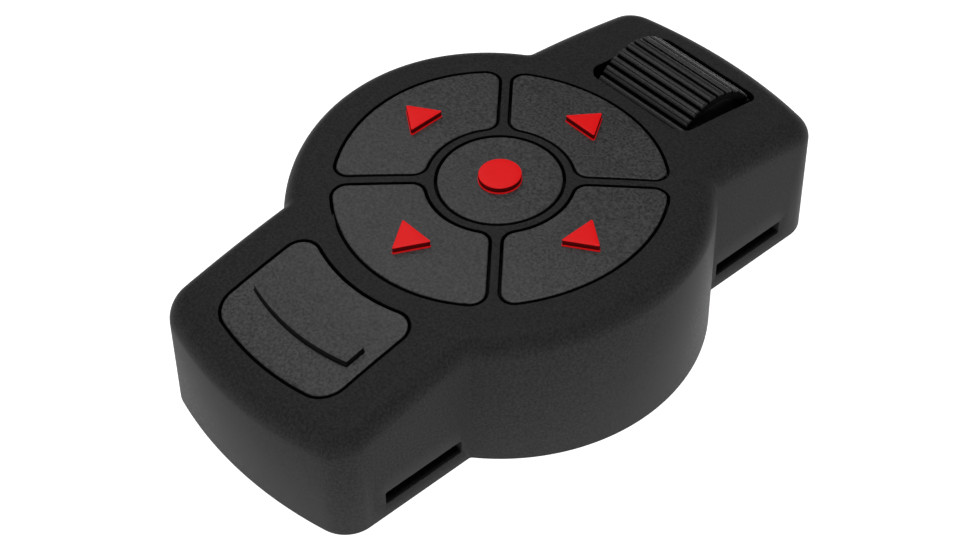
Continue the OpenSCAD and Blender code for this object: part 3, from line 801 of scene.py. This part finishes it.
def build_tyre():
    """Ribbed sleeve: a loft along X through cross-sections, with rounded ends and a round bore."""
    shell = Shell()
    half = (0.015, 0.028, 0.035, 0.038, 0.08, 0.14, 0.2, 0.26, 0.3, 0.33, 0.36, 0.37, 0.385, 0.41, 0.45)
    samples = [-s for s in reversed(half)] + [0.0, *half, 0.5]
    turns = np.array([(rib + s) / RIBS for rib in range(RIBS) for s in samples]) * 2 * math.pi
    turns -= math.radians(RIB_TURN)
    depths = np.array([rib_depth(s) for s in samples] * RIBS)

    def section(x, shrink):
        deep = np.maximum(depths, shrink) if shrink < GROOVE else np.full(len(depths), shrink)
        r = WHEEL_R - np.minimum(deep + 0.35 * shrink, GROOVE + 0.1 + 0.2 * shrink)
        return [(x, WHEEL_Y + q * math.cos(a), WHEEL_Z + q * math.sin(a)) for q, a in zip(r, turns)]

    stations = [(-WHEEL_HALF_W + TYRE_EDGE_R * (1 - math.cos(a)), TYRE_EDGE_R * (1 - math.sin(a)))
                for a in np.linspace(0, math.pi / 2, 6)]
    stations += [(x, 0.0) for x in np.linspace(stations[-1][0], 0, 5)[1:]]
    stations += [(-x, shrink) for x, shrink in reversed(stations[:-1])]
    rings = [shell.ring(section(x, shrink)) for x, shrink in stations]
    # Faces deep in the grooves get painted shade, the slit between the lobes excepted
    painted_groove_shade = (np.minimum(depths, np.roll(depths, -1)) > SHOULDER - 0.01) & (
        np.abs(samples * RIBS) > SLIT)
    for a, b in zip(rings, rings[1:]):
        shell.band(a, b, shade=painted_groove_shade)
    bores = [shell.ring([(x, WHEEL_Y + HUB_R * math.cos(a), WHEEL_Z + HUB_R * math.sin(a)) for a in turns])
             for x in (-WHEEL_HALF_W, WHEEL_HALF_W)]
    # The sleeve's ends get painted shade as well
    for ring, bore in zip((rings[0], rings[-1]), bores):
        shell.band(ring, bore, shade=np.full(len(ring), True))
    shell.band(*bores)
    finish_piece(shell.build("wheel_sleeve", 50), "wheel", "wheel_rubber", "wheel_tyre")


build_tyre()


# ---------- screws under the case ----------

def build_screws(name, node):
    """Pan-head screws with a cross recess, seen from below."""
    shell = Shell()
    centres, low, high = screw_places(node)
    arm, half, recess = 1.05, 0.26, 0.75
    neck = low + SCREW_HEAD_H
    for x, y in centres:
        head = circle_outline(x, y, SCREW_HEAD_R, 48)
        shank = circle_outline(x, y, SCREW_R, 48)
        profile = [(head, -0.5, low), (head, -0.25, low + 0.06), (head, -0.08, low + 0.2),
                   (head, 0, low + 0.45), (head, 0, neck)]
        for k in range(int((high - neck - 0.6) / THREAD_PITCH)):
            profile += [(shank, grow, neck + THREAD_PITCH * k + shift) for shift, grow in
                        ((0.0, -THREAD_DEPTH), (0.14, -THREAD_DEPTH), (0.24, 0.0), (0.3, 0.0))]
        profile.append((shank, -0.75, high))
        rings = shell.loft([shell.ring(at_height(loop.grown(g), z)) for loop, g, z in profile])
        shell.faces.append(tuple(rings[-1]))
        cross = [(arm, -half), (arm, half), (half, half), (half, arm), (-half, arm), (-half, half),
                 (-arm, half), (-arm, -half), (-half, -half), (-half, -arm), (half, -arm), (half, -half)]
        mouth = shell.ring([(x + u, y + v, low) for u, v in cross])
        floor = shell.ring([(x + 0.55 * u, y + 0.55 * v, low + recess) for u, v in cross])
        shell.band(mouth, floor)
        shell.fill(rings[0], [mouth], pitch=5, lift=lambda u, v: (u, v, low))
        shell.fill(floor, [], pitch=5, lift=lambda u, v: (u, v, low + recess))
    finish_piece(shell.build(name, 35), "housing", "screw_steel", node)


build_screws("case_screws", "base_screws")
build_screws("battery_door_screw", "door_screw")


# ---------- floor, light and camera ----------

def build_floor():
    """Pale floor with a soft glow of its own, which lights the walls and keeps the background white."""
    made, tree, shader = material("pale_floor", (0.4, 0.4, 0.4), 0.7, Emission_Strength=1.15)
    tree.links.new(tinted(tree, noise(tree, 40, 4), (0.39, 0.39, 0.39), (0.41, 0.41, 0.41)),
                   shader.inputs["Base Color"])
    shell = Shell()
    reach = 3000
    shell.fill(shell.ring([(-reach, -reach, 0), (reach, -reach, 0), (reach, reach, 0), (-reach, reach, 0)]),
               [], pitch=600, lift=lambda u, v: (u, v, 0.0))
    floor = shell.build("floor")
    floor.data.materials.append(made)
    floor.location.z = case_low[2] * MM - 0.0001
    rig.stage(floor)


def area_light(name, place, size, power):
    aim = (0, 0, 0.01)
    data = bpy.data.lights.new(name, "AREA")
    data.shape, data.size, data.energy = "DISK", size, power
    light = bpy.data.objects.new(name, data)
    light.location = place
    light.rotation_euler = (Vector(aim) - Vector(place)).to_track_quat("-Z", "Y").to_euler()
    bpy.context.scene.collection.objects.link(light)


def build_camera():
    azimuth, elevation, roll = map(math.radians, (48.03, 44.77, -0.63))
    distance = 345.6
    target = Vector((14.82, -15.90, 27.80))
    back = Vector((math.sin(azimuth) * math.cos(elevation), -math.cos(azimuth) * math.cos(elevation),
                   math.sin(elevation)))
    right = Vector((math.cos(azimuth), math.sin(azimuth), 0))
    up = back.cross(right)
    turned_right = right * math.cos(roll) + up * math.sin(roll)
    turned_up = up * math.cos(roll) - right * math.sin(roll)
    data = bpy.data.cameras.new("camera")
    data.sensor_width, data.lens = 36, 83.72
    data.clip_start, data.clip_end = 0.01, 20
    camera = bpy.data.objects.new("camera", data)
    axes = Matrix((turned_right, turned_up, back)).transposed().to_4x4()
    camera.matrix_world = Matrix.Translation((target + back * distance) * MM) @ axes
    bpy.context.scene.collection.objects.link(camera)
    bpy.context.scene.camera = camera


def build_light():
    world = bpy.data.worlds.new("studio")
    world.use_nodes = True
    world.node_tree.nodes["Background"].inputs["Color"].default_value = (1, 1, 1, 1)
    world.node_tree.nodes["Background"].inputs["Strength"].default_value = 0.02
    bpy.context.scene.world = world
    # Places and sizes of the lights are in metres
    area_light("top_light", (0, -0.04, 0.55), 0.4, 1.3)
    area_light("back_light", (-0.6, 0.25, 0.75), 0.5, 0.9)
    bpy.context.scene.view_settings.view_transform = "Standard"


build_floor()
build_light()
build_camera()

new_low, new_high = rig.bounds()
with open("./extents.json", "w") as out:
    json.dump({"cad": [list(cad_low), list(cad_high)], "visual": [list(new_low), list(new_high)]}, out)
